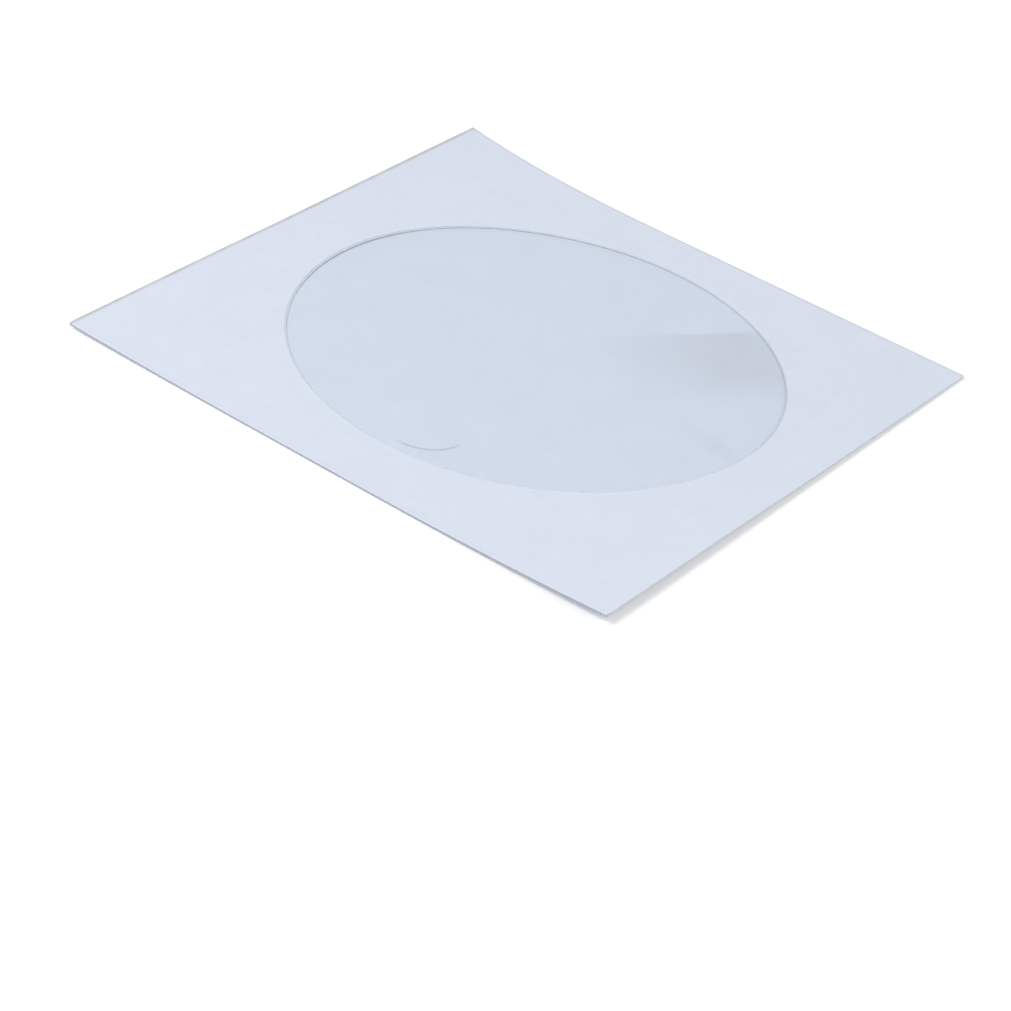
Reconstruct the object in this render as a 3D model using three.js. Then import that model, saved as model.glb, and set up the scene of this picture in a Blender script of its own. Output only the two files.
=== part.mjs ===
// A square paper sleeve for one disc, with a round window of clear film.
// Millimetres, Z up. The window faces up. The closing flap is folded under along the front
// edge (-Y), the bottom fold runs along the back edge (+Y) and the glued side tabs lie inside.

import * as THREE from 'three';

// Outline of the closed sleeve
const discDiameter = 120;
const widthClearance = 5;
const depthClearance = 5;

// Sheet materials
const paperThickness = 0.12;
const filmThickness = 0.04;

// Window, cut a little off the middle, and the film patch round it
const windowRim = 13.4;
const windowOffset = new THREE.Vector2(1.1, 1.0);
const filmOverlap = 5;

// Side tabs, folded in from the front panel's left and right edges
const tabWidth = 12;
const tabTaper = 6;

// Back panel, folded up from the bottom fold
const backInset = 1.5;
const backTaper = 1;
const mouthSetback = 5;
const backCornerRadius = 6;

// Closing flap, folded under from the mouth
const flapDepth = 35;
const flapInset = 2;
const flapTaper = 7;
const flapCornerRadius = 10;

// Length over which a panel steps in from the front panel's corner to its own width
const shoulderLength = 3;

// Clearances between the layers
const layerGap = 0.05;
const pocketGap = 0.1;
const filmGap = 0.02;

// How the paper lies: the empty pocket sinks between the tabs and bulges a little in the middle,
// and both sides bend up from a flat strip, by a lift that changes evenly from front to back
const pocketBulge = 0.15;
const pocketSinkLength = 9;
const flatHalfWidth = 10;
const settleLength = 30;
const leftBend = { frontLift: 0.6, backLift: 3.2, power: 2.7 };
const rightBend = { frontLift: 1.5, backLift: 0.1, power: 2 };

// Fineness of the facets
const sideSteps = 20;
const sideCrowding = 0.6;
const rimSteps = 4;
const marginSteps = 2;
const filmSteps = 3;
const foldSteps = 4;
const tabSteps = 3;
const backSteps = 14;
const flapSteps = 4;

// Sizes worked out from the values above
const halfWidth = (discDiameter + widthClearance) / 2;
const halfDepth = (discDiameter + depthClearance) / 2;
const windowRadius = Math.min(halfWidth, halfDepth) - windowRim;
const filmHalfWidth = halfWidth - windowRim + filmOverlap;
const filmHalfDepth = halfDepth - windowRim + filmOverlap;

// Middle height of each layer of the closed sleeve, from the underside up
const flapLevel = paperThickness / 2;
const backLevel = flapLevel + paperThickness + layerGap;
const tabLevel = backLevel + paperThickness + layerGap;
const filmLevel = tabLevel + paperThickness / 2 + pocketGap + filmThickness / 2;
const frontLevel = filmLevel + filmThickness / 2 + filmGap + paperThickness / 2;

// A fold joins the front panel to a lower layer. Its line is where the front panel ends and the
// round of the fold starts, measured from the middle of the sleeve.
function makeFold(level, outerHalf) {
  const radius = (frontLevel - level) / 2;
  return { radius, level, arc: Math.PI * radius, line: outerHalf - radius - paperThickness / 2 };
}

const sideFold = makeFold(tabLevel, halfWidth);
const bottomFold = makeFold(backLevel, halfDepth);
const mouthFold = makeFold(flapLevel, halfDepth);

// Follows the paper from a fold's line: level to it, round the fold, then back underneath.
function followFold(fold, run) {
  if (run <= fold.arc) {
    const angle = run / fold.radius;
    return {
      out: fold.line + fold.radius * Math.sin(angle),
      height: frontLevel - fold.radius + fold.radius * Math.cos(angle),
      normalOut: Math.sin(angle),
      normalUp: Math.cos(angle),
    };
  }
  return { out: fold.line - (run - fold.arc), height: fold.level, normalOut: 0, normalUp: -1 };
}

// Height that the bent-up sides add at a point of the plan
function bendHeight(x, y) {
  const { frontLift, backLift, power } = x < 0 ? leftBend : rightBend;
  const across = Math.max(0, Math.abs(x) - flatHalfWidth) / (halfWidth - flatHalfWidth);
  const along = (y + halfDepth) / (2 * halfDepth);
  return THREE.MathUtils.lerp(frontLift, backLift, along) * across ** power;
}

// Past the flap's free edge every layer settles down by the flap's thickness
function settleDrop(y) {
  const flapEdge = followFold(mouthFold, mouthFold.arc + flapDepth).out;
  return (paperThickness + layerGap) * THREE.MathUtils.smoothstep(y, -flapEdge, settleLength - flapEdge);
}

// Height that the bulging pocket adds to the front panel and the film, less the depth by which
// both sink on to the back panel between the tabs
function pocketHeight(x, y) {
  const across = THREE.MathUtils.clamp(1 - (x / sideFold.line) ** 2, 0, 1);
  const along = THREE.MathUtils.clamp(1 - (y / mouthFold.line) ** 2, 0, 1);
  const fromTab = THREE.MathUtils.smoothstep(sideFold.line - tabWidth - Math.abs(x), 0, pocketSinkLength);
  const fromFold = THREE.MathUtils.smoothstep(mouthFold.line - Math.abs(y), 0, pocketSinkLength);
  return pocketBulge * (across * along) ** 2 - (paperThickness + layerGap) * fromTab * fromFold;
}

function settledHeight(point, overPocket) {
  const lying = point.z + bendHeight(point.x, point.y) - settleDrop(point.y);
  return overPocket ? lying + pocketHeight(point.x, point.y) : lying;
}

// A thin sheet, described by its middle surface and turned into a closed solid of even thickness
class Sheet {
  constructor(thickness) {
    this.thickness = thickness;
    this.points = [];
    this.triangles = [];
  }

  addPoint(middle, normal, overPocket) {
    this.points.push({ middle, normal, overPocket });
    return this.points.length - 1;
  }

  // The sheet's face at a point: side is 1 for the outer face, -1 for the inner one, 0 for the middle
  facePoint(index, side) {
    const { middle, normal, overPocket } = this.points[index];
    const point = middle.clone().addScaledVector(normal, side * this.thickness / 2);
    point.z = settledHeight(point, overPocket);
    return point;
  }

  addTriangle(a, b, c) {
    this.triangles.push([a, b, c]);
  }

  // Splits a four-sided cell along its more level diagonal
  addCell(a, b, c, d) {
    const [za, zb, zc, zd] = [a, b, c, d].map((index) => this.facePoint(index, 0).z);
    if (Math.abs(za - zc) <= Math.abs(zb - zd)) {
      this.addTriangle(a, b, c);
      this.addTriangle(a, c, d);
    } else {
      this.addTriangle(a, b, d);
      this.addTriangle(b, c, d);
    }
  }

  // Cells between two rows of points that run the same way; the second row lies to the left
  addRow(first, second) {
    for (let i = 0; i + 1 < first.length; i += 1) {
      this.addCell(first[i], first[i + 1], second[i + 1], second[i]);
    }
  }

  // Outer face, inner face and the cut edges between them
  toGeometry() {
    const count = this.points.length;
    const positions = [];
    for (const side of [1, -1]) {
      for (let index = 0; index < count; index += 1) {
        positions.push(...this.facePoint(index, side));
      }
    }
    const indices = [];
    const edges = new Set();
    for (const [a, b, c] of this.triangles) {
      indices.push(a, b, c, c + count, b + count, a + count);
      edges.add(`${a} ${b}`).add(`${b} ${c}`).add(`${c} ${a}`);
    }
    for (const edge of edges) {
      const [a, b] = edge.split(' ').map(Number);
      if (!edges.has(`${b} ${a}`)) {
        indices.push(a, a + count, b + count, a, b + count, b);
      }
    }
    const geometry = new THREE.BufferGeometry();
    geometry.setAttribute('position', new THREE.Float32BufferAttribute(positions, 3));
    geometry.setIndex(indices);
    geometry.computeVertexNormals();
    return geometry;
  }
}

const up = new THREE.Vector3(0, 0, 1);

// Places from -1 to 1 along a side, closer together towards the corners
function sidePlaces() {
  const places = [];
  for (let i = 0; i <= sideSteps; i += 1) {
    const even = 2 * i / sideSteps - 1;
    places.push(THREE.MathUtils.lerp(even, Math.sin(even * Math.PI / 2), sideCrowding));
  }
  return places;
}

// One turn round a square of half size 1, counter-clockwise from its front left corner
function squareTurn() {
  const places = sidePlaces().slice(0, -1);
  const front = places.map((place) => [place, -1]);
  const right = places.map((place) => [1, place]);
  const back = places.map((place) => [-place, 1]);
  const left = places.map((place) => [-1, -place]);
  return [...front, ...right, ...back, ...left];
}

// Spokes that run from the window's edge to the film's edge and on to the folds
function makeSpoke([across, along]) {
  const fromWindow = new THREE.Vector2(across * filmHalfWidth, along * filmHalfDepth);
  const foldEdge = new THREE.Vector2(
    across * sideFold.line,
    along * (along < 0 ? mouthFold.line : bottomFold.line),
  );
  const filmEdge = fromWindow.clone().add(windowOffset);
  const windowEdge = fromWindow.setLength(windowRadius).add(windowOffset);
  return { windowEdge, filmEdge, foldEdge };
}

const spokes = squareTurn().map(makeSpoke);

// Adds one closed ring of points, each part of the way along its spoke
function addRing(sheet, level, pointOnSpoke) {
  return spokes.map((spoke) => {
    const place = pointOnSpoke(spoke);
    return sheet.addPoint(new THREE.Vector3(place.x, place.y, level), up, true);
  });
}

// Rings from the window's edge out to the film's edge
function addRimRings(sheet, level) {
  const rings = [];
  for (let step = 0; step <= rimSteps; step += 1) {
    const part = step / rimSteps;
    rings.push(addRing(sheet, level, (spoke) => spoke.windowEdge.clone().lerp(spoke.filmEdge, part)));
  }
  return rings;
}

// Cells between neighbouring rings, each ring closed on itself
function joinRings(sheet, rings) {
  for (let i = 0; i + 1 < rings.length; i += 1) {
    sheet.addRow([...rings[i + 1], rings[i + 1][0]], [...rings[i], rings[i][0]]);
  }
}

// A panel folded from the front panel: rows of points round the fold, across the shoulders and on
// to the free edge. Each column starts at a point of the fold's line and draws in towards the
// middle as it runs on. Reach, draw-in and shoulders are measured from the end of the fold's round.
function addPanel(sheet, { fold, foldRow, place, drawIn, reach, steps }) {
  const starts = foldRow.map((index) => sheet.points[index].middle);
  let last = foldRow;
  for (let step = 1; step <= foldSteps + 1 + steps; step += 1) {
    const row = starts.map((start) => {
      const round = Math.min(step / foldSteps, 1) * fold.arc;
      const shoulder = step > foldSteps ? shoulderLength : 0;
      const flat = shoulder + Math.max(0, step - foldSteps - 1) / steps * (reach(start) - shoulder);
      const { out, height, normalOut, normalUp } = followFold(fold, round + flat);
      const middle = place(out, start.clone().multiplyScalar(drawIn(flat)), height);
      return sheet.addPoint(middle, place(normalOut, new THREE.Vector3(), normalUp), false);
    });
    sheet.addRow(row, last);
    last = row;
  }
}

// How far a panel with two rounded corners reaches from its fold, at a distance from its middle
function roundedReach(length, halfEnd, radius) {
  return (start) => {
    const offset = Math.abs(start.x) * halfEnd / sideFold.line;
    const intoCorner = THREE.MathUtils.clamp(offset - (halfEnd - radius), 0, radius);
    return length - radius + Math.sqrt(radius ** 2 - intoCorner ** 2);
  };
}

// A panel that steps in at its shoulders and then tapers evenly, as a share of its fold's length
function shoulderedDrawIn(inset, taper, length) {
  return (flat) => 1 - (inset * Math.min(flat / shoulderLength, 1) + taper * flat / length) / sideFold.line;
}

function makePaperSheet() {
  const sheet = new Sheet(paperThickness);
  const rings = addRimRings(sheet, frontLevel);
  for (let step = 1; step <= marginSteps; step += 1) {
    const part = step / marginSteps;
    rings.push(addRing(sheet, frontLevel, (spoke) => spoke.filmEdge.clone().lerp(spoke.foldEdge, part)));
  }
  joinRings(sheet, rings);

  const outline = rings[rings.length - 1];
  const sideRow = (side) => [...outline, outline[0]].slice(side * sideSteps, (side + 1) * sideSteps + 1);
  const [frontRow, rightRow, backRow, leftRow] = [0, 1, 2, 3].map(sideRow);

  // Side tabs, whose ends are cut at a slant
  const tab = {
    fold: sideFold,
    drawIn: (flat) => 1 - tabTaper * flat / tabWidth / bottomFold.line,
    reach: () => tabWidth,
    steps: tabSteps,
  };
  addPanel(sheet, {
    ...tab,
    foldRow: rightRow,
    place: (out, start, height) => new THREE.Vector3(out, start.y, height),
  });
  addPanel(sheet, {
    ...tab,
    foldRow: leftRow,
    place: (out, start, height) => new THREE.Vector3(-out, start.y, height),
  });

  // Back panel, reaching nearly to the mouth
  const backLength = bottomFold.line + mouthFold.line - mouthSetback;
  addPanel(sheet, {
    fold: bottomFold,
    foldRow: backRow,
    drawIn: shoulderedDrawIn(backInset, backTaper, backLength),
    reach: roundedReach(backLength, sideFold.line - backInset - backTaper, backCornerRadius),
    steps: backSteps,
    place: (out, start, height) => new THREE.Vector3(start.x, out, height),
  });

  // Closing flap
  addPanel(sheet, {
    fold: mouthFold,
    foldRow: frontRow,
    drawIn: shoulderedDrawIn(flapInset, flapTaper, flapDepth),
    reach: roundedReach(flapDepth, sideFold.line - flapInset - flapTaper, flapCornerRadius),
    steps: flapSteps,
    place: (out, start, height) => new THREE.Vector3(start.x, -out, height),
  });
  return sheet;
}

// The film: a square sheet under the front panel that covers the window
function makeFilmSheet() {
  const sheet = new Sheet(filmThickness);
  const rings = [];
  for (let step = 1; step < filmSteps; step += 1) {
    const part = step / filmSteps;
    rings.push(addRing(sheet, filmLevel, (spoke) => windowOffset.clone().lerp(spoke.windowEdge, part)));
  }
  rings.push(...addRimRings(sheet, filmLevel));
  joinRings(sheet, rings);
  const middle = sheet.addPoint(new THREE.Vector3(windowOffset.x, windowOffset.y, filmLevel), up, true);
  const inner = rings[0];
  inner.forEach((point, i) => sheet.addTriangle(middle, point, inner[(i + 1) % inner.length]));
  return sheet;
}

const paperMaterial = new THREE.MeshStandardMaterial({
  color: 0xdbe3f0,
  roughness: 0.85,
  metalness: 0,
  flatShading: true,
});

const filmMaterial = new THREE.MeshStandardMaterial({
  color: 0xd2dae7,
  roughness: 0.12,
  metalness: 0,
  transparent: true,
  opacity: 0.35,
});

function makeMesh(name, sheet, material) {
  const mesh = new THREE.Mesh(sheet.toGeometry(), material);
  mesh.name = name;
  return mesh;
}

const group = new THREE.Group();
group.add(makeMesh('paper_sleeve', makePaperSheet(), paperMaterial));
group.add(makeMesh('window_film', makeFilmSheet(), filmMaterial));

export default group;
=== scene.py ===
# A square paper sleeve for one disc, with a round window of clear film, lying window side up.
import math

import bpy
import numpy as np
from mathutils import Matrix, Vector


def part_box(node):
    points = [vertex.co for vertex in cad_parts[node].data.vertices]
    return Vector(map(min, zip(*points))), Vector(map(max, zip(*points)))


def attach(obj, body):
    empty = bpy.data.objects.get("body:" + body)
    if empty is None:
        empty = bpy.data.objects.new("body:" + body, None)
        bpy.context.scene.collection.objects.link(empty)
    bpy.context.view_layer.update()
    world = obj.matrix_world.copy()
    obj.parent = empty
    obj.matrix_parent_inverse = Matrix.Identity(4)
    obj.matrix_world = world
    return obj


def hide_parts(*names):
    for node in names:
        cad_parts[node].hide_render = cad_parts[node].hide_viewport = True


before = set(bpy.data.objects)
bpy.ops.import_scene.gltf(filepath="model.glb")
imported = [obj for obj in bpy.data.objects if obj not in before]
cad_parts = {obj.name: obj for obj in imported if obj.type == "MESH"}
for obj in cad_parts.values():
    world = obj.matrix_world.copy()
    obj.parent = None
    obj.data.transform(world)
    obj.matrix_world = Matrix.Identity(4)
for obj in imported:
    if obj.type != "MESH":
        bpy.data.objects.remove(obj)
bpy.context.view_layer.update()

MM = 0.001

# Outline of the closed sleeve and of its film, from the frame
PAPER_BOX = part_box("paper_sleeve")
FILM_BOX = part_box("window_film")
HALF_WIDTH = PAPER_BOX[1].x
HALF_DEPTH = PAPER_BOX[1].y
FILM_HALF_WIDTH = (FILM_BOX[1].x - FILM_BOX[0].x) / 2
FILM_HALF_DEPTH = (FILM_BOX[1].y - FILM_BOX[0].y) / 2
WINDOW_CENTRE = (FILM_BOX[1].x - FILM_HALF_WIDTH, FILM_BOX[1].y - FILM_HALF_DEPTH)

# Sheet materials
PAPER_THICKNESS = 0.12 * MM
FILM_THICKNESS = 0.04 * MM

# Window
FILM_OVERLAP = 5 * MM
WINDOW_RADIUS = min(FILM_HALF_WIDTH, FILM_HALF_DEPTH) - FILM_OVERLAP

# Side tabs, back panel and closing flap
TAB_WIDTH = 12 * MM
TAB_TAPER = 6 * MM
BACK_INSET = 1.5 * MM
BACK_TAPER = 1 * MM
MOUTH_SETBACK = 5 * MM
BACK_CORNER_RADIUS = 6 * MM
FLAP_DEPTH = 35 * MM
FLAP_INSET = 2 * MM
FLAP_TAPER = 7 * MM
FLAP_CORNER_RADIUS = 10 * MM
SHOULDER_LENGTH = 3 * MM

# Clearances between the layers
LAYER_GAP = 0.05 * MM
POCKET_GAP = 0.1 * MM
FILM_GAP = 0.02 * MM

# How the paper lies: the empty pocket sinks between the tabs and bulges a little, and each side
# bends up by a front lift, a back lift and a power
POCKET_BULGE = 0.15 * MM
POCKET_SINK_LENGTH = 9 * MM
FLAT_HALF_WIDTH = 10 * MM
SETTLE_LENGTH = 30 * MM
LEFT_BEND = (0.6 * MM, 3.2 * MM, 2.7)
RIGHT_BEND = (1.5 * MM, 0.1 * MM, 2.0)

# The front panel sinks a little where the tabs and the film under it end
TAB_MARK_DEPTH = 0.025 * MM
FILM_MARK_DEPTH = 0.045 * MM
MARK_WIDTH = 1.1 * MM

# Slack ripples of the film inside the window, as three crossing waves
RIPPLE_HEIGHT = 0.03 * MM
RIPPLES = (
    {"length": 51 * MM, "share": 0.5, "direction": (0.8, 0.6), "phase": 0.0},
    {"length": 37 * MM, "share": 0.3, "direction": (-0.4, 0.9), "phase": 1.0},
    {"length": 23 * MM, "share": 0.2, "direction": (1.0, -0.3), "phase": 2.0},
)

# Fineness of the sheets
SIDE_STEPS = 96
SIDE_CROWDING = 0.6
RIM_STEPS = 18
MARGIN_STEPS = 10
FILM_STEPS = 24
FOLD_STEPS = 8
TAB_STEPS = 10
BACK_STEPS = 64
FLAP_STEPS = 22

# Middle height of each layer, from the underside up
FLAP_LEVEL = PAPER_THICKNESS / 2
BACK_LEVEL = FLAP_LEVEL + PAPER_THICKNESS + LAYER_GAP
TAB_LEVEL = BACK_LEVEL + PAPER_THICKNESS + LAYER_GAP
FILM_LEVEL = TAB_LEVEL + PAPER_THICKNESS / 2 + POCKET_GAP + FILM_THICKNESS / 2
FRONT_LEVEL = FILM_LEVEL + FILM_THICKNESS / 2 + FILM_GAP + PAPER_THICKNESS / 2


def smooth_step(value, low, high):
    """0 below low, 1 above high and smooth between them."""
    part = np.clip((value - low) / (high - low), 0, 1)
    return part * part * (3 - 2 * part)


class Fold:
    """A fold that joins the front panel to a lower layer."""

    def __init__(self, level, outer_half):
        self.level = level
        self.radius = (FRONT_LEVEL - level) / 2
        self.arc = math.pi * self.radius
        self.line = outer_half - self.radius - PAPER_THICKNESS / 2

    def follow(self, run):
        """Where the paper lies after running past the fold's line: out, height and its normal."""
        angle = np.minimum(run, self.arc) / self.radius
        out = self.line + self.radius * np.sin(angle) - np.maximum(run - self.arc, 0)
        height = FRONT_LEVEL - self.radius + self.radius * np.cos(angle)
        return out, height, np.sin(angle), np.cos(angle)


SIDE_FOLD = Fold(TAB_LEVEL, HALF_WIDTH)
BOTTOM_FOLD = Fold(BACK_LEVEL, HALF_DEPTH)
MOUTH_FOLD = Fold(FLAP_LEVEL, HALF_DEPTH)
FLAP_EDGE = MOUTH_FOLD.line - FLAP_DEPTH


def bend_height(x, y):
    """Height that the bent-up sides add, changing evenly from the front to the back."""
    across = np.maximum(0, abs(x) - FLAT_HALF_WIDTH) / (HALF_WIDTH - FLAT_HALF_WIDTH)
    along = (y + HALF_DEPTH) / (2 * HALF_DEPTH)
    left, right = (
        (front + (back - front) * along) * across ** power
        for front, back, power in (LEFT_BEND, RIGHT_BEND)
    )
    return np.where(x < 0, left, right)


def settle_drop(y):
    """Past the flap's free edge every layer settles down by the flap's thickness."""
    return (PAPER_THICKNESS + LAYER_GAP) * smooth_step(y, -FLAP_EDGE, SETTLE_LENGTH - FLAP_EDGE)


def pocket_height(x, y):
    """Height that the pocket adds to the front panel and the film, less their sinking on to the back."""
    across = np.clip(1 - (x / SIDE_FOLD.line) ** 2, 0, 1)
    along = np.clip(1 - (y / MOUTH_FOLD.line) ** 2, 0, 1)
    from_tab = smooth_step(SIDE_FOLD.line - TAB_WIDTH - abs(x), 0, POCKET_SINK_LENGTH)
    from_fold = smooth_step(MOUTH_FOLD.line - abs(y), 0, POCKET_SINK_LENGTH)
    return POCKET_BULGE * (across * along) ** 2 - (PAPER_THICKNESS + LAYER_GAP) * from_tab * from_fold


def tab_mark(x):
    """The front panel and the film sink inside the side tabs' inner edges."""
    inner_edge = SIDE_FOLD.line - TAB_WIDTH
    return TAB_MARK_DEPTH * smooth_step(inner_edge - abs(x), -MARK_WIDTH / 2, MARK_WIDTH / 2)


def film_mark(x, y):
    """The front panel sinks outside the film's edge."""
    from_centre = [abs(x - WINDOW_CENTRE[0]), abs(y - WINDOW_CENTRE[1])]
    beyond = np.maximum(from_centre[0] - FILM_HALF_WIDTH, from_centre[1] - FILM_HALF_DEPTH)
    return FILM_MARK_DEPTH * smooth_step(beyond, 0, MARK_WIDTH)


def film_ripple(x, y):
    """Shallow slack waves across the film, dying out at the window's edge."""
    from_centre = np.hypot(x - WINDOW_CENTRE[0], y - WINDOW_CENTRE[1])
    inside = np.clip(1 - (from_centre / WINDOW_RADIUS) ** 2, 0, 1)
    waves = 0
    for ripple in RIPPLES:
        run = ripple["direction"][0] * x + ripple["direction"][1] * y
        waves += ripple["share"] * np.sin(2 * math.pi / ripple["length"] * run + ripple["phase"])
    return RIPPLE_HEIGHT * inside * waves


class Sheet:
    """A thin sheet, kept as points on its middle surface, turned into a closed skin of even thickness."""

    def __init__(self, thickness):
        self.thickness = thickness
        self.middles = []
        self.normals = []
        self.shaping = []
        self.cells = []
        self.count = 0

    def add_points(self, middles, normals, shape=None):
        """Adds points whose height shape(x, y) changes, and returns their numbers."""
        self.middles.append(middles)
        self.normals.append(normals)
        self.shaping.append(shape)
        numbers = np.arange(self.count, self.count + len(middles))
        self.count += len(middles)
        return numbers

    def add_row(self, first, second):
        """Cells between two rows that run the same way; the second row lies to the left."""
        self.cells.append(np.column_stack([first[:-1], first[1:], second[1:], second[:-1]]))

    def face_points(self, side):
        """The points of the outer face for side 1, or of the inner face for side -1."""
        blocks = []
        for middles, normals, shape in zip(self.middles, self.normals, self.shaping):
            block = middles + normals * (side * self.thickness / 2)
            x, y = block[:, 0], block[:, 1]
            block[:, 2] += bend_height(x, y) - settle_drop(y)
            if shape is not None:
                block[:, 2] += shape(x, y)
            blocks.append(block)
        return np.concatenate(blocks)

    def make_object(self, name):
        """The closed skin as a smooth mesh, with its cut edges sharp and marked by an attribute."""
        cells = [tuple(cell) for cell in np.concatenate(self.cells).tolist()]
        cells = [tuple(dict.fromkeys(cell)) for cell in cells]
        edges = {(a, b) for cell in cells for a, b in zip(cell, cell[1:] + cell[:1])}
        rims = sorted((a, b) for a, b in edges if (b, a) not in edges)
        count = self.count
        faces = list(cells)
        faces += [tuple(index + count for index in reversed(cell)) for cell in cells]
        faces += [(a, a + count, b + count, b) for a, b in rims]
        points = np.concatenate([self.face_points(1), self.face_points(-1)])
        mesh = bpy.data.meshes.new(name)
        mesh.from_pydata(points.tolist(), [], faces)
        mesh.polygons.foreach_set("use_smooth", [True] * len(mesh.polygons))
        cut = mesh.attributes.new("cut_edge", "FLOAT", "FACE")
        cut.data.foreach_set("value", [0.0] * (2 * len(cells)) + [1.0] * len(rims))
        sharp = {tuple(sorted(pair)) for a, b in rims for pair in ((a, b), (a + count, b + count))}
        marks = mesh.attributes.new("sharp_edge", "BOOLEAN", "EDGE")
        marks.data.foreach_set("value", [tuple(sorted(edge.vertices)) in sharp for edge in mesh.edges])
        mesh.validate()
        piece = bpy.data.objects.new(name, mesh)
        bpy.context.scene.collection.objects.link(piece)
        return piece


def side_places():
    """Places from -1 to 1 along a side, closer together towards the corners."""
    even = np.linspace(-1, 1, SIDE_STEPS + 1)
    return even + SIDE_CROWDING * (np.sin(even * math.pi / 2) - even)


def square_turn():
    """One turn round a square of half size 1, counter-clockwise from its front left corner."""
    places = side_places()[:-1]
    ones = np.ones_like(places)
    sides = [(places, -ones), (ones, places), (-places, ones), (-ones, -places)]
    return np.concatenate([np.column_stack(side) for side in sides])


TURN = square_turn()
FROM_WINDOW = TURN * (FILM_HALF_WIDTH, FILM_HALF_DEPTH)
FILM_RING = WINDOW_CENTRE + FROM_WINDOW
WINDOW_RING = WINDOW_CENTRE + FROM_WINDOW / np.linalg.norm(FROM_WINDOW, axis=1)[:, None] * WINDOW_RADIUS
FOLD_RING = TURN * np.column_stack([
    np.full(len(TURN), SIDE_FOLD.line),
    np.where(TURN[:, 1] < 0, MOUTH_FOLD.line, BOTTOM_FOLD.line),
])


def add_ring(sheet, places, level, shape):
    """One closed ring of points at a level."""
    middles = np.column_stack([places, np.full(len(places), level)])
    return sheet.add_points(middles, np.tile([0.0, 0.0, 1.0], (len(places), 1)), shape)


def add_band(sheet, inner, outer, steps, level, shape, start=None):
    """Rings of points from one outline to another, joined by cells; returns the outermost ring."""
    last = add_ring(sheet, inner, level, shape) if start is None else start
    for step in range(1, steps + 1):
        ring = add_ring(sheet, inner + (outer - inner) * step / steps, level, shape)
        sheet.add_row(np.append(ring, ring[0]), np.append(last, last[0]))
        last = ring
    return last


def rounded_reach(length, half_end, radius):
    """How far a panel with two rounded corners reaches, from each column's start."""
    def reach(starts):
        offset = abs(starts[:, 0]) * half_end / SIDE_FOLD.line
        into_corner = np.clip(offset - (half_end - radius), 0, radius)
        return length - radius + np.sqrt(radius ** 2 - into_corner ** 2)
    return reach


def shouldered_draw_in(inset, taper, length):
    """A panel that steps in at its shoulders and then tapers, as a share of its fold's length."""
    def draw_in(flat):
        stepped = inset * np.minimum(flat / SHOULDER_LENGTH, 1)
        return 1 - (stepped + taper * flat / length) / SIDE_FOLD.line
    return draw_in


def add_panel(sheet, fold, fold_row, starts, axis, sign, draw_in, reach, steps):
    """A panel folded under the front panel, from its fold's row of points to its free edge."""
    last = fold_row
    flats = reach(starts)
    for step in range(1, FOLD_STEPS + 1 + steps + 1):
        around = min(step / FOLD_STEPS, 1) * fold.arc
        shoulder = SHOULDER_LENGTH if step > FOLD_STEPS else 0
        flat = shoulder + max(0, step - FOLD_STEPS - 1) / steps * (flats - shoulder)
        out, height, normal_out, normal_up = fold.follow(around + flat)
        middles = np.column_stack([starts * draw_in(flat)[:, None], height])
        middles[:, axis] = sign * out
        normals = np.zeros_like(middles)
        normals[:, axis] = sign * normal_out
        normals[:, 2] = normal_up
        row = sheet.add_points(middles, normals)
        sheet.add_row(row, last)
        last = row


def front_shape(x, y):
    """Height added to the front panel beyond what every layer follows."""
    return pocket_height(x, y) - tab_mark(x) - film_mark(x, y)


def film_shape(x, y):
    """Height added to the film beyond what every layer follows."""
    return pocket_height(x, y) - tab_mark(x) + film_ripple(x, y)


def make_paper():
    """The folded paper: front panel, side tabs, back panel and closing flap in one sheet."""
    sheet = Sheet(PAPER_THICKNESS)
    film_edge = add_band(sheet, WINDOW_RING, FILM_RING, RIM_STEPS, FRONT_LEVEL, front_shape)
    outline = add_band(sheet, FILM_RING, FOLD_RING, MARGIN_STEPS, FRONT_LEVEL, front_shape, film_edge)
    loop = np.append(outline, outline[0])
    places = np.vstack([FOLD_RING, FOLD_RING[:1]])
    sides = [slice(side * SIDE_STEPS, (side + 1) * SIDE_STEPS + 1) for side in range(4)]
    front, right, back, left = sides

    def tab_draw_in(flat):
        return 1 - TAB_TAPER * flat / TAB_WIDTH / BOTTOM_FOLD.line

    def tab_reach(starts):
        return np.full(len(starts), TAB_WIDTH)

    for side, sign in ((right, 1), (left, -1)):
        add_panel(sheet, SIDE_FOLD, loop[side], places[side], 0, sign, tab_draw_in, tab_reach, TAB_STEPS)

    back_length = BOTTOM_FOLD.line + MOUTH_FOLD.line - MOUTH_SETBACK
    back_draw_in = shouldered_draw_in(BACK_INSET, BACK_TAPER, back_length)
    back_end = SIDE_FOLD.line - BACK_INSET - BACK_TAPER
    back_reach = rounded_reach(back_length, back_end, BACK_CORNER_RADIUS)
    add_panel(sheet, BOTTOM_FOLD, loop[back], places[back], 1, 1, back_draw_in, back_reach, BACK_STEPS)

    flap_draw_in = shouldered_draw_in(FLAP_INSET, FLAP_TAPER, FLAP_DEPTH)
    flap_end = SIDE_FOLD.line - FLAP_INSET - FLAP_TAPER
    flap_reach = rounded_reach(FLAP_DEPTH, flap_end, FLAP_CORNER_RADIUS)
    add_panel(sheet, MOUTH_FOLD, loop[front], places[front], 1, -1, flap_draw_in, flap_reach, FLAP_STEPS)
    return sheet.make_object("sleeve_paper")


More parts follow.
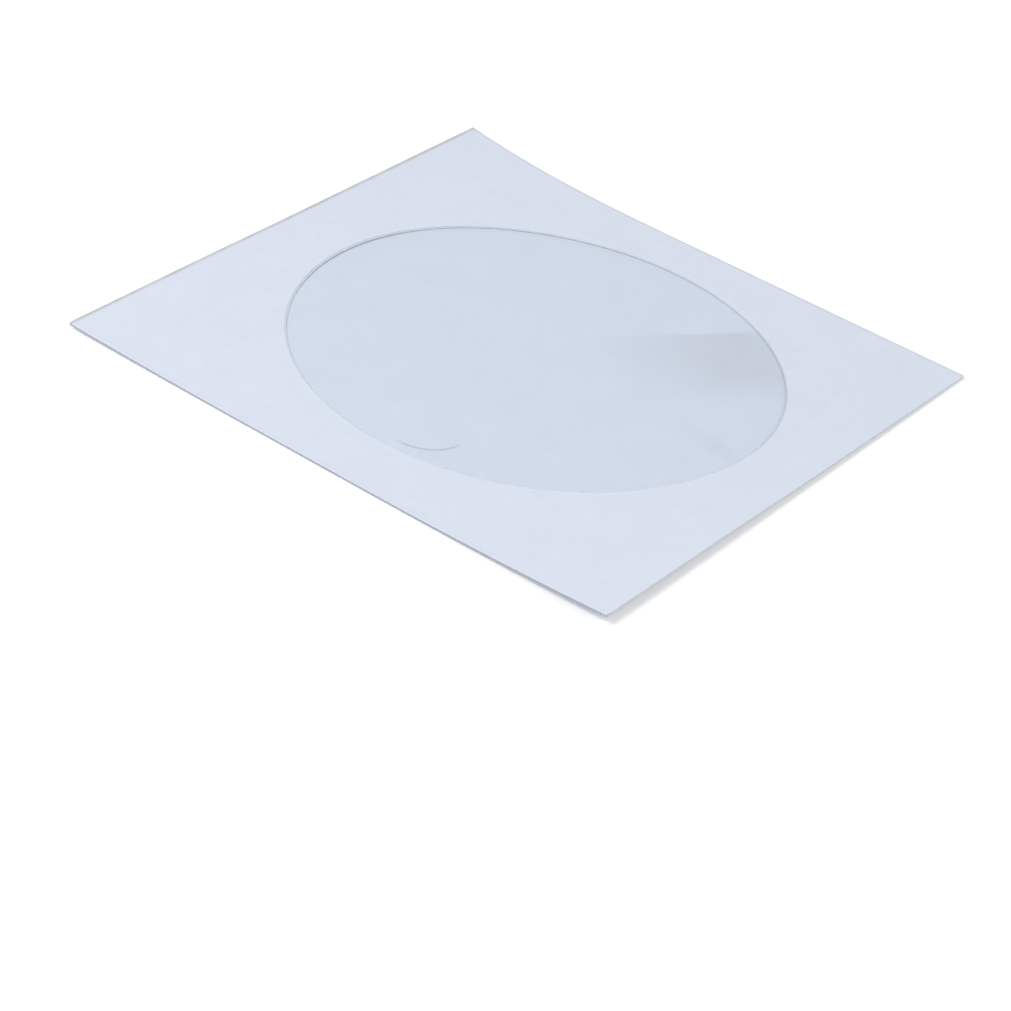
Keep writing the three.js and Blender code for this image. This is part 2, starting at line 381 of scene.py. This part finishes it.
def make_film():
    """The film under the front panel, slack inside the window."""
    sheet = Sheet(FILM_THICKNESS)
    hub = WINDOW_CENTRE + (WINDOW_RING - WINDOW_CENTRE) / FILM_STEPS
    window_edge = add_band(sheet, hub, WINDOW_RING, FILM_STEPS - 1, FILM_LEVEL, film_shape)
    add_band(sheet, WINDOW_RING, FILM_RING, RIM_STEPS, FILM_LEVEL, film_shape, window_edge)
    middle = add_ring(sheet, np.array([WINDOW_CENTRE]), FILM_LEVEL, film_shape)[0]
    inner = np.arange(len(TURN))
    sheet.cells.append(np.column_stack([
        np.full(len(TURN), middle), inner, np.roll(inner, -1), np.full(len(TURN), middle),
    ]))
    return sheet.make_object("sleeve_film")


# Operations on vectors that give one number
SINGLE_RESULTS = ("DISTANCE", "LENGTH", "DOT_PRODUCT")


class Nodes:
    """Short calls to build a node tree."""

    def __init__(self, tree):
        self.tree = tree

    def add(self, kind, **settings):
        node = self.tree.nodes.new(kind)
        for name, value in settings.items():
            setattr(node, name, value)
        return node

    def feed(self, socket, value):
        """Links a node's output, or writes a plain value, into a socket."""
        if isinstance(value, bpy.types.NodeSocket):
            self.tree.links.new(value, socket)
        else:
            socket.default_value = value

    def math(self, operation, first, second=0.0):
        node = self.add("ShaderNodeMath", operation=operation)
        self.feed(node.inputs[0], first)
        self.feed(node.inputs[1], second)
        return node.outputs[0]

    def ramp(self, value, low, high, at_low=0.0, at_high=1.0):
        """A smooth change from at_low to at_high as value goes from low to high."""
        node = self.add("ShaderNodeMapRange", interpolation_type="SMOOTHSTEP")
        for socket, setting in zip(node.inputs, (value, low, high, at_low, at_high)):
            self.feed(socket, setting)
        return node.outputs[0]

    def split(self, place):
        node = self.add("ShaderNodeSeparateXYZ")
        self.feed(node.inputs[0], place)
        return node.outputs

    def vector_math(self, operation, first, second=(0, 0, 0)):
        node = self.add("ShaderNodeVectorMath", operation=operation)
        self.feed(node.inputs[0], first)
        self.feed(node.inputs[1], second)
        return node.outputs["Value" if operation in SINGLE_RESULTS else "Vector"]

    def mix_colour(self, factor, first, second):
        node = self.add("ShaderNodeMix", data_type="RGBA")
        self.feed(node.inputs["Factor"], factor)
        self.feed(node.inputs["A"], first)
        self.feed(node.inputs["B"], second)
        return node.outputs["Result"]

    def bump(self, height, distance, strength, normal=None):
        node = self.add("ShaderNodeBump")
        self.feed(node.inputs["Height"], height)
        node.inputs["Distance"].default_value = distance
        node.inputs["Strength"].default_value = strength
        if normal is not None:
            self.feed(node.inputs["Normal"], normal)
        return node.outputs[0]


class MaterialNodes(Nodes):
    """The node tree of a new material, with its shader and the places on the object."""

    def __init__(self, name):
        self.material = bpy.data.materials.new(name)
        self.material.use_nodes = True
        super().__init__(self.material.node_tree)
        self.shader = self.tree.nodes["Principled BSDF"]
        self.place = self.add("ShaderNodeTexCoord").outputs["Object"]

    def noise(self, scale, detail, roughness=0.5, place=None):
        """A noise over the object, or over other places."""
        node = self.add("ShaderNodeTexNoise")
        self.feed(node.inputs["Vector"], place or self.place)
        node.inputs["Scale"].default_value = scale
        node.inputs["Detail"].default_value = detail
        node.inputs["Roughness"].default_value = roughness
        return node.outputs["Fac"]

    def turned(self, centre, angle, scale=(1, 1, 1)):
        """Places measured from a centre, along axes turned by an angle."""
        node = self.add("ShaderNodeMapping", vector_type="TEXTURE")
        self.feed(node.inputs["Vector"], self.place)
        node.inputs["Location"].default_value = (*centre, 0)
        node.inputs["Rotation"].default_value = (0, 0, angle)
        node.inputs["Scale"].default_value = scale
        return node.outputs[0]


def tone(red, green, blue):
    """A colour written in screen values from 0 to 255, as the shader's linear colour."""
    linear = []
    for value in (red, green, blue):
        share = value / 255
        linear.append(share / 12.92 if share <= 0.04045 else ((share + 0.055) / 1.055) ** 2.4)
    return (*linear, 1.0)


# The parts of a noise's range over which the looks change: as a rule, in the formation, in the wear with
# its painted highlight
NOISE_RANGE = (0.3, 0.7)
FORMATION_RANGE = (0.35, 0.75)
WORN_HIGHLIGHT_RANGE = (0.35, 0.65)

# Tones of the paper: its clouds, the thin places in its formation, the worn folds with their painted
# highlight, and the cut edges with painted light
PAPER_TONES = (tone(218, 226, 239), tone(220, 228, 241))
FORMATION_TONE = tone(212, 221, 235)
FORMATION_SHARE = 0.35
WORN_HIGHLIGHT_TONE = tone(228, 234, 243)
WORN_HIGHLIGHT_WIDTH = 0.5 * MM
WORN_HIGHLIGHT_SHARES = (0.2, 0.8)
CUT_EDGE_LIGHT_TONE = tone(236, 240, 247)
CUT_EDGE_LIGHT_SHARE = 0.9

# Noises of the paper, from its clouds down to its grain
CLOUDS = {"scale": 90, "detail": 4}
FORMATION = {"scale": 420, "detail": 5, "roughness": 0.6}
WORN_HIGHLIGHT_NOISE = {"scale": 900, "detail": 4}
BORDER_SHADE_NOISE = {"scale": 240, "detail": 3}
FIBRES = {"scale": 700, "detail": 5}
GRAIN = {"scale": 2600, "detail": 4, "roughness": 0.6}

# How the fibres lie, and the gloss and relief of the paper's surface
FIBRE_ANGLE = 0.5
FIBRE_STRETCH = (1, 0.18, 1)
PAPER_ROUGHNESS = (0.74, 0.88)
PAPER_SPECULAR = 0.25
CLOUD_RELIEF = {"distance": 0.12 * MM, "strength": 0.5}
FIBRE_RELIEF = {"distance": 0.012 * MM, "strength": 0.6}
GRAIN_RELIEF = {"distance": 0.004 * MM, "strength": 0.6}

# Painted shade along the sleeve's edges: a grey line along the left fold, and fainter along the bottom
# fold
BORDER_SHADE_TONE = tone(176, 174, 174)
BORDER_SHADE_START = 0.2 * MM
BORDER_SHADE_WIDTH = 1.1 * MM
BORDER_SHADE_SHARES = (0.45, 0.8)
BACK_BORDER_SHADE_SHARE = 0.5

# The shade of the mouth's fold where it turns down, and how far in from the front edge it lies
TURN_TONE = tone(150, 156, 174)
TURN_WIDTH = 1.2 * MM
TURN_FACING = (0.2, 0.8)
TURN_SHARE = 0.7


def paper_material():
    """Smooth white copier paper: cloudy, faintly fibrous, worn bright at the folds with a painted
    highlight, with painted shade along the left and back edges and on the mouth's fold, and painted light
    on the cut edges.
    """
    nodes = MaterialNodes("white_paper")
    x, y = nodes.split(nodes.place)[:2]
    side_distance = nodes.math("SUBTRACT", HALF_WIDTH, nodes.math("ABSOLUTE", x))
    end_distance = nodes.math("SUBTRACT", HALF_DEPTH, nodes.math("ABSOLUTE", y))
    edge_distance = nodes.math("MINIMUM", side_distance, end_distance)

    clouds = nodes.noise(**CLOUDS)
    colour = nodes.mix_colour(nodes.ramp(clouds, *NOISE_RANGE), *PAPER_TONES)
    formation = nodes.ramp(nodes.noise(**FORMATION), *FORMATION_RANGE, 0.0, FORMATION_SHARE)
    colour = nodes.mix_colour(formation, colour, FORMATION_TONE)
    # Worn folds, partly real wear and partly painted highlight: a lighter line along the outer edges
    worn_highlight = nodes.math(
        "MULTIPLY",
        nodes.ramp(edge_distance, 0.0, WORN_HIGHLIGHT_WIDTH, 1.0, 0.0),
        nodes.ramp(nodes.noise(**WORN_HIGHLIGHT_NOISE), *WORN_HIGHLIGHT_RANGE, *WORN_HIGHLIGHT_SHARES),
    )
    colour = nodes.mix_colour(worn_highlight, colour, WORN_HIGHLIGHT_TONE)
    # Painted shade: a grey line along the left edge, and fainter along the back edge
    from_left = nodes.math("ADD", x, HALF_WIDTH)
    from_back = nodes.math("SUBTRACT", HALF_DEPTH, y)
    left_shade = nodes.ramp(from_left, BORDER_SHADE_START, BORDER_SHADE_WIDTH, 1.0, 0.0)
    back_shade = nodes.ramp(from_back, BORDER_SHADE_START, BORDER_SHADE_WIDTH, BACK_BORDER_SHADE_SHARE, 0.0)
    border_shade = nodes.math(
        "MULTIPLY",
        nodes.math("MAXIMUM", left_shade, back_shade),
        nodes.ramp(nodes.noise(**BORDER_SHADE_NOISE), *NOISE_RANGE, *BORDER_SHADE_SHARES),
    )
    colour = nodes.mix_colour(border_shade, colour, BORDER_SHADE_TONE)
    facing = nodes.split(nodes.add("ShaderNodeNewGeometry").outputs["Normal"])[2]
    turned_down = nodes.math(
        "MULTIPLY",
        nodes.ramp(nodes.math("ABSOLUTE", facing), *TURN_FACING, TURN_SHARE, 0.0),
        nodes.ramp(nodes.math("ADD", y, HALF_DEPTH), TURN_WIDTH / 2, TURN_WIDTH, 1.0, 0.0),
    )
    colour = nodes.mix_colour(turned_down, colour, TURN_TONE)
    # Painted light: the cut edges are made lighter than the paper, against their own shade
    cut = nodes.add("ShaderNodeAttribute", attribute_name="cut_edge").outputs["Fac"]
    colour = nodes.mix_colour(nodes.math("MULTIPLY", cut, CUT_EDGE_LIGHT_SHARE), colour, CUT_EDGE_LIGHT_TONE)
    nodes.feed(nodes.shader.inputs["Base Color"], colour)

    grain = nodes.noise(**GRAIN)
    roughness = nodes.ramp(grain, *NOISE_RANGE, *PAPER_ROUGHNESS)
    nodes.feed(nodes.shader.inputs["Roughness"], roughness)
    nodes.shader.inputs["Specular IOR Level"].default_value = PAPER_SPECULAR

    fibres = nodes.noise(**FIBRES, place=nodes.turned((0, 0), FIBRE_ANGLE, FIBRE_STRETCH))
    normal = nodes.bump(clouds, **CLOUD_RELIEF)
    normal = nodes.bump(fibres, **FIBRE_RELIEF, normal=normal)
    normal = nodes.bump(grain, **GRAIN_RELIEF, normal=normal)
    nodes.feed(nodes.shader.inputs["Normal"], normal)
    return nodes.material


# Painted dark reflection on the film: a long patch in the window's right half, and a fainter streak. The
# crisp share of the width is where the upper edge starts to fade.
DARK_REFLECTION_PATCH = {
    "centre": (25.7 * MM, 22.2 * MM),
    "angle": math.radians(54.9),
    "half_length": 25 * MM,
    "half_width": 13 * MM,
    "crisp_share": 0.97,
}
REFLECTION_STREAK = {
    "centre": (40 * MM, 0.5 * MM),
    "angle": -0.15,
    "half_length": 11 * MM,
    "half_width": 3 * MM,
    "crisp_share": 0.3,
}
REFLECTION_STREAK_SHARE = 0.5

# Where a patch is full between its near and far ends, and where its lower edge fades, as shares
# of its half length and its half width
PATCH_FULL_LENGTH = (0.3, 0.5)
PATCH_LOWER_EDGE = (-1.3, -0.1)

# Painted light on the film along the window's edge, a fine pale line that covers the shade beneath it,
# and painted shade on it where the paper stands off the film: its directions, its strength and how soon
# it fades along the edge
WINDOW_EDGE_LIGHT_WIDTH = 0.6 * MM
WINDOW_EDGE_LIGHT_ALPHA = 0.9
SHADES = (
    {"towards": math.radians(30), "strength": 0.35, "fades": 0.72},
    {"towards": math.radians(92), "strength": 0.15, "fades": 0.93},
)

# A small curved crease in the film near the front of the window, with painted shade along it
CREASE_CENTRE = (3.4 * MM, -36.9 * MM)
CREASE_RADIUS = 8.1 * MM
CREASE_MIDDLE = (8.9 * MM, -42.8 * MM)
CREASE_HALF_LENGTH = 4.4 * MM
CREASE_FADED_LENGTH = 1.6 * CREASE_HALF_LENGTH
CREASE_WIDTH = 0.4 * MM
CREASE_SHADE_TONE = tone(110, 116, 132)
CREASE_SHADE_SHARE = 0.4
CREASE_ALPHA = 0.18
CREASE_RELIEF = {"distance": 0.04 * MM, "strength": 1.0}

# Tones, clearness, gloss and relief of the film
FILM_TONES = (tone(206, 216, 231), tone(212, 220, 234))
DARK_REFLECTION_TONE = tone(166, 174, 190)
WINDOW_EDGE_LIGHT_TONE = tone(225, 232, 243)
WINDOW_EDGE_SHADE_TONE = tone(186, 195, 216)
FILM_ALPHA = (0.06, 0.072)
DARK_REFLECTION_ALPHA = 0.015
FILM_ROUGHNESS = (0.06, 0.16)
FILM_SPECULAR = 0.4
FILM_INDEX = 1.5
HAZE = {"scale": 28, "detail": 2}
SMEARS = {"scale": 160, "detail": 4}
SLACK = {"scale": 60, "detail": 2}
SLACK_RELIEF = {"distance": 0.15 * MM, "strength": 0.35}


def film_patch(nodes, centre, angle, half_length, half_width, crisp_share):
    """A long soft patch, more or less crisp along its upper edge."""
    along, across = nodes.split(nodes.turned(centre, angle))[:2]
    full_from, full_to = (share * half_length for share in PATCH_FULL_LENGTH)
    low, high = (share * half_width for share in PATCH_LOWER_EDGE)
    near_end = nodes.ramp(along, -half_length, full_from)
    far_end = nodes.ramp(along, full_to, half_length, near_end, 0.0)
    upper = nodes.ramp(across, half_width * crisp_share, half_width, 1.0, 0.0)
    lower = nodes.ramp(across, low, high, 0.0, 1.0)
    return nodes.math("MULTIPLY", nodes.math("MULTIPLY", far_end, upper), lower)


def film_crease(nodes):
    """The height of the small curved crease."""
    flat = nodes.vector_math("MULTIPLY", nodes.place, (1, 1, 0))
    from_centre = nodes.vector_math("DISTANCE", flat, (*CREASE_CENTRE, 0))
    from_middle = nodes.vector_math("DISTANCE", flat, (*CREASE_MIDDLE, 0))
    from_arc = nodes.math("ABSOLUTE", nodes.math("SUBTRACT", from_centre, CREASE_RADIUS))
    ridge = nodes.ramp(from_arc, 0.0, CREASE_WIDTH, 1.0, 0.0)
    ends = nodes.ramp(from_middle, CREASE_HALF_LENGTH, CREASE_FADED_LENGTH, 1.0, 0.0)
    return nodes.math("MULTIPLY", ridge, ends)


def window_edge_light_and_shade(nodes):
    """The painted light along the window's edge and the painted shade on it, both from 0 to 1."""
    from_centre = nodes.vector_math("SUBTRACT", nodes.place, (*WINDOW_CENTRE, FILM_LEVEL))
    radius = nodes.vector_math("LENGTH", from_centre)
    line = nodes.ramp(radius, WINDOW_RADIUS - WINDOW_EDGE_LIGHT_WIDTH, WINDOW_RADIUS - WINDOW_EDGE_LIGHT_WIDTH / 4)
    sides = []
    for shade in SHADES:
        towards = (math.cos(shade["towards"]), math.sin(shade["towards"]), 0)
        reach = nodes.vector_math("DOT_PRODUCT", from_centre, towards)
        low = shade["fades"] * WINDOW_RADIUS
        sides.append(nodes.ramp(reach, low, WINDOW_RADIUS, 0.0, shade["strength"]))
    return line, nodes.math("MULTIPLY", line, nodes.math("MAXIMUM", *sides))


def film_material():
    """Clear glossy film with a faint haze, a painted dark reflection, a small crease with painted shade,
    and painted light and shade along the window's edge.
    """
    nodes = MaterialNodes("clear_film")
    # Painted dark reflection: a darker, less clear patch and streak on the film
    reflection_streak = nodes.math("MULTIPLY", film_patch(nodes, **REFLECTION_STREAK), REFLECTION_STREAK_SHARE)
    dark_reflection = nodes.math("MAXIMUM", film_patch(nodes, **DARK_REFLECTION_PATCH), reflection_streak)
    crease = film_crease(nodes)
    haze = nodes.noise(**HAZE)
    line, shade = window_edge_light_and_shade(nodes)
    colour = nodes.mix_colour(nodes.ramp(haze, *NOISE_RANGE), *FILM_TONES)
    colour = nodes.mix_colour(dark_reflection, colour, DARK_REFLECTION_TONE)
    # Painted shade along the crease
    colour = nodes.mix_colour(nodes.math("MULTIPLY", crease, CREASE_SHADE_SHARE), colour, CREASE_SHADE_TONE)
    # Painted light along the window's edge, then painted shade on it
    colour = nodes.mix_colour(line, colour, WINDOW_EDGE_LIGHT_TONE)
    colour = nodes.mix_colour(shade, colour, WINDOW_EDGE_SHADE_TONE)
    nodes.feed(nodes.shader.inputs["Base Color"], colour)

    alpha = nodes.ramp(haze, *NOISE_RANGE, *FILM_ALPHA)
    alpha = nodes.math("ADD", alpha, nodes.math("MULTIPLY", dark_reflection, DARK_REFLECTION_ALPHA))
    alpha = nodes.math("ADD", alpha, nodes.math("MULTIPLY", crease, CREASE_ALPHA))
    # The painted light along the window's edge is nearly opaque
    alpha = nodes.math("MAXIMUM", alpha, nodes.math("MULTIPLY", line, WINDOW_EDGE_LIGHT_ALPHA))
    nodes.feed(nodes.shader.inputs["Alpha"], alpha)

    roughness = nodes.ramp(nodes.noise(**SMEARS), *NOISE_RANGE, *FILM_ROUGHNESS)
    nodes.feed(nodes.shader.inputs["Roughness"], roughness)
    nodes.shader.inputs["IOR"].default_value = FILM_INDEX
    nodes.shader.inputs["Specular IOR Level"].default_value = FILM_SPECULAR
    normal = nodes.bump(nodes.noise(**SLACK), **SLACK_RELIEF)
    normal = nodes.bump(crease, **CREASE_RELIEF, normal=normal)
    nodes.feed(nodes.shader.inputs["Normal"], normal)
    return nodes.material


def camera_share(nodes):
    """1 for rays that come from the camera, or through gloss and glass, and 0 for the rest."""
    path = nodes.add("ShaderNodeLightPath")
    share = nodes.math("MAXIMUM", path.outputs["Is Camera Ray"], path.outputs["Is Glossy Ray"])
    return nodes.math("MAXIMUM", share, path.outputs["Is Transmission Ray"])


# Light that the world gives to the object, the floor's own tone and what brings it up to white,
# near the sleeve and farther out, where the lamps hardly reach
WORLD_LEVEL = 0.46
FLOOR_TONE = 0.85
NEAR_GLOW = 0.25
FAR_GLOW = 0.7
NEAR_DISTANCE = 0.12
FAR_DISTANCE = 0.6
FLOOR_SIZE = 6.0
FLOOR_DROP = 0.02 * MM
FLOOR_ROUGHNESS = 0.9


def make_floor():
    """A plain white floor that keeps the object's shadow."""
    bpy.ops.mesh.primitive_plane_add(size=FLOOR_SIZE, location=(0, 0, -FLOOR_DROP))
    floor = bpy.context.object
    floor.name = "floor"
    nodes = MaterialNodes("floor_white")
    nodes.shader.inputs["Base Color"].default_value = (FLOOR_TONE, FLOOR_TONE, FLOOR_TONE, 1)
    nodes.shader.inputs["Roughness"].default_value = FLOOR_ROUGHNESS
    nodes.shader.inputs["Specular IOR Level"].default_value = 0.0
    nodes.shader.inputs["Emission Color"].default_value = (1, 1, 1, 1)
    distance = nodes.vector_math("LENGTH", nodes.place)
    level = nodes.ramp(distance, NEAR_DISTANCE, FAR_DISTANCE, NEAR_GLOW, FAR_GLOW)
    glow = nodes.math("MULTIPLY", camera_share(nodes), level)
    nodes.feed(nodes.shader.inputs["Emission Strength"], glow)
    floor.data.materials.append(nodes.material)


def make_world():
    """A white surround for the camera and a softer white light for the object."""
    world = bpy.data.worlds.new("white_room")
    bpy.context.scene.world = world
    world.use_nodes = True
    nodes = Nodes(world.node_tree)
    background = nodes.tree.nodes["Background"]
    background.inputs["Color"].default_value = (1, 1, 1, 1)
    level = nodes.ramp(camera_share(nodes), 0.0, 1.0, WORLD_LEVEL, 1.0)
    nodes.feed(background.inputs["Strength"], level)


KEY_LAMP = {"place": (-0.35, -0.60, 0.80), "size": 0.5, "watts": 6.1}
FILL_LAMP = {"place": (0.75, 0.60, 0.80), "size": 0.9, "watts": 3.7}


def add_lamp(name, place, size, watts):
    """A soft square lamp that faces the sleeve."""
    data = bpy.data.lights.new(name, "AREA")
    data.size = size
    data.energy = watts
    lamp = bpy.data.objects.new(name, data)
    lamp.location = place
    lamp.rotation_euler = (-Vector(place)).to_track_quat("-Z", "Y").to_euler()
    bpy.context.scene.collection.objects.link(lamp)


# The camera, as fitted to the sleeve's corners and window in the photograph
CAMERA_AZIMUTH = math.radians(31.45)
CAMERA_ELEVATION = math.radians(32.94)
CAMERA_ROLL = math.radians(10.09)
CAMERA_DISTANCE = 579.4 * MM
CAMERA_ASIDE = (4.74 * MM, 29.72 * MM)
PICTURE_PIXELS = 1011
FOCAL_PIXELS = 3000
SENSOR_WIDTH = 36
SLEEVE_LEVEL = 0.5 * MM
CLIP_START = 10 * MM


def make_camera():
    """The camera of the photograph, aimed past the sleeve's middle and rolled."""
    backward = Vector((
        math.sin(CAMERA_AZIMUTH) * math.cos(CAMERA_ELEVATION),
        -math.cos(CAMERA_AZIMUTH) * math.cos(CAMERA_ELEVATION),
        math.sin(CAMERA_ELEVATION),
    ))
    level_right = Vector((0, 0, 1)).cross(backward).normalized()
    level_up = backward.cross(level_right)
    right = math.cos(CAMERA_ROLL) * level_right + math.sin(CAMERA_ROLL) * level_up
    up = -math.sin(CAMERA_ROLL) * level_right + math.cos(CAMERA_ROLL) * level_up
    aside, above = CAMERA_ASIDE
    place = backward * CAMERA_DISTANCE - right * aside - up * above + Vector((0, 0, SLEEVE_LEVEL))
    data = bpy.data.cameras.new("camera")
    data.sensor_width = SENSOR_WIDTH
    data.lens = FOCAL_PIXELS / PICTURE_PIXELS * SENSOR_WIDTH
    data.clip_start = CLIP_START
    camera = bpy.data.objects.new("camera", data)
    axes = Matrix((right, up, backward)).transposed()
    camera.matrix_world = Matrix.Translation(place) @ axes.to_4x4()
    bpy.context.scene.collection.objects.link(camera)
    bpy.context.scene.camera = camera


def dress(piece, material, node):
    """Gives a piece its material, and its place on the CAD body in a node's stead."""
    piece.data.materials.append(material)
    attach(piece, "root")
    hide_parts(node)


make_camera()
dress(make_paper(), paper_material(), "paper_sleeve")
dress(make_film(), film_material(), "window_film")
make_floor()
make_world()
add_lamp("key", **KEY_LAMP)
add_lamp("fill", **FILL_LAMP)

bpy.context.scene.view_settings.view_transform = "Standard"
